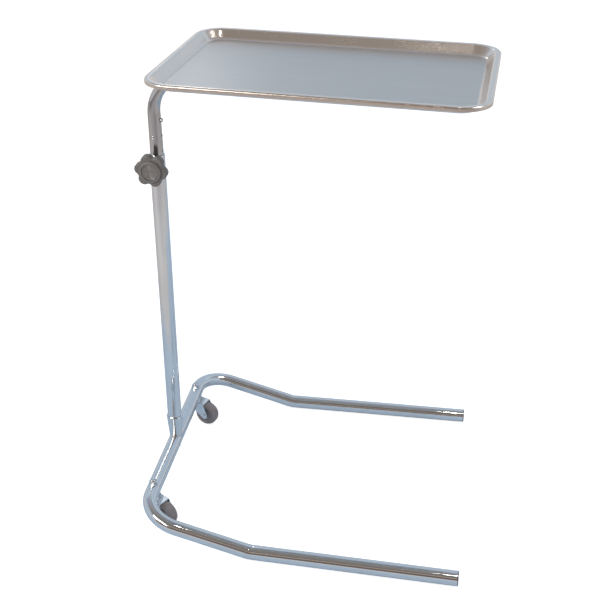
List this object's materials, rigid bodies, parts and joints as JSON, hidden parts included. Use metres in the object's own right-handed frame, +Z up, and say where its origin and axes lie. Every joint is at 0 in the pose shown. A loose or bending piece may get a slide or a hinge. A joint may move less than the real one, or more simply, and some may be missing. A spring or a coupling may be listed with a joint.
{
  "type": "mayo instrument stand",
  "caption": "Wheeled instrument stand: a U-shaped tube base, a height-adjustable post with a star clamp knob, and a removable pressed steel tray on an arm.",
  "frame": {"origin": "on the floor, under the centre of the stand's bounding box", "axes": "+X from the post along the legs, +Y away from the clamp knob, +Z up"},
  "size_m": [0.558, 0.483, 0.79],
  "materials": {
    "chrome_plate": "bright chrome plate on drawn steel tube",
    "zinc_plate": "bright zinc plate on pressed and turned steel",
    "pan_steel": "stainless sheet, satin floor, polished edge",
    "plug_plastic": "black moulded plastic",
    "knob_plastic": "warm dark grey moulded plastic, satin",
    "nylon": "natural nylon",
    "wheel_rubber": "dark brown-grey soft tread"
  },
  "bodies": {
    "base": {"base_tube": "chrome_plate", "near_leg_plug": "plug_plastic", "far_leg_plug": "plug_plastic", "post_socket": "chrome_plate", "outer_post": "chrome_plate", "post_anchor": "zinc_plate", "anchor_bolt": "zinc_plate", "anchor_saddle": "chrome_plate", "near_stem": "zinc_plate", "near_stem_saddle": "chrome_plate", "near_stem_nut": "chrome_plate", "far_stem": "zinc_plate", "far_stem_saddle": "chrome_plate", "far_stem_nut": "chrome_plate", "clamp_boss": "chrome_plate"},
    "height_glide": {"glide_plug": "nylon"},
    "tray_arm": {"inner_post": "chrome_plate", "stop_rivet": "chrome_plate", "arm_plug": "plug_plastic", "inner_bracket": "chrome_plate", "outer_bracket": "chrome_plate", "tray_ring": "chrome_plate"},
    "tray": {"instrument_tray": "pan_steel"},
    "clamp_pad": {"clamp_shoe": "nylon"},
    "knob": {"clamp_knob": "knob_plastic", "clamp_screw": "zinc_plate", "knob_cap": "knob_plastic"},
    "near_caster": {"near_fork": "zinc_plate", "near_axle": "zinc_plate", "near_wheel_bush": "zinc_plate"},
    "near_roller": {"near_wheel": "wheel_rubber"},
    "far_caster": {"far_fork": "zinc_plate", "far_axle": "zinc_plate", "far_wheel_bush": "zinc_plate"},
    "far_roller": {"far_wheel": "wheel_rubber"}
  },
  "joints": [
    {"name": "height_slide", "type": "slide", "parent": "base", "child": "height_glide", "axis": [0, 0, 1], "range_m": [-0.052, 0.3]},
    {"name": "tray_swivel", "type": "hinge", "parent": "height_glide", "child": "tray_arm", "pos_m": [-0.25268, 0, 0.19], "axis": [0, 0, 1], "continuous": true},
    {"name": "tray_lift", "type": "slide", "parent": "tray_arm", "child": "tray", "axis": [0, 0, 1], "range_m": [0, 0.06]},
    {"name": "clamp_travel", "type": "slide", "parent": "base", "child": "clamp_pad", "axis": [0, -1, 0], "range_m": [0, 0.0025]},
    {"name": "knob_turn", "type": "hinge", "parent": "clamp_pad", "child": "knob", "pos_m": [-0.25268, -0.03, 0.61], "axis": [0, -1, 0], "range_deg": [0, 720]},
    {"name": "near_swivel", "type": "hinge", "parent": "base", "child": "near_caster", "pos_m": [-0.25268, -0.15, 0.045], "axis": [0, 0, 1], "continuous": true},
    {"name": "near_wheel_spin", "type": "hinge", "parent": "near_caster", "child": "near_roller", "pos_m": [-0.23059, -0.16275, 0.023], "axis": [-0.5, -0.866, 0], "continuous": true},
    {"name": "far_swivel", "type": "hinge", "parent": "base", "child": "far_caster", "pos_m": [-0.25268, 0.15, 0.045], "axis": [0, 0, 1], "continuous": true},
    {"name": "far_wheel_spin", "type": "hinge", "parent": "far_caster", "child": "far_roller", "pos_m": [-0.22872, 0.14128, 0.023], "axis": [-0.342, -0.9397, 0], "continuous": true}
  ],
  "couplings": [
    {"joint": "clamp_travel", "follows": "knob_turn", "m_per_rad": 0.00019894}
  ]
}
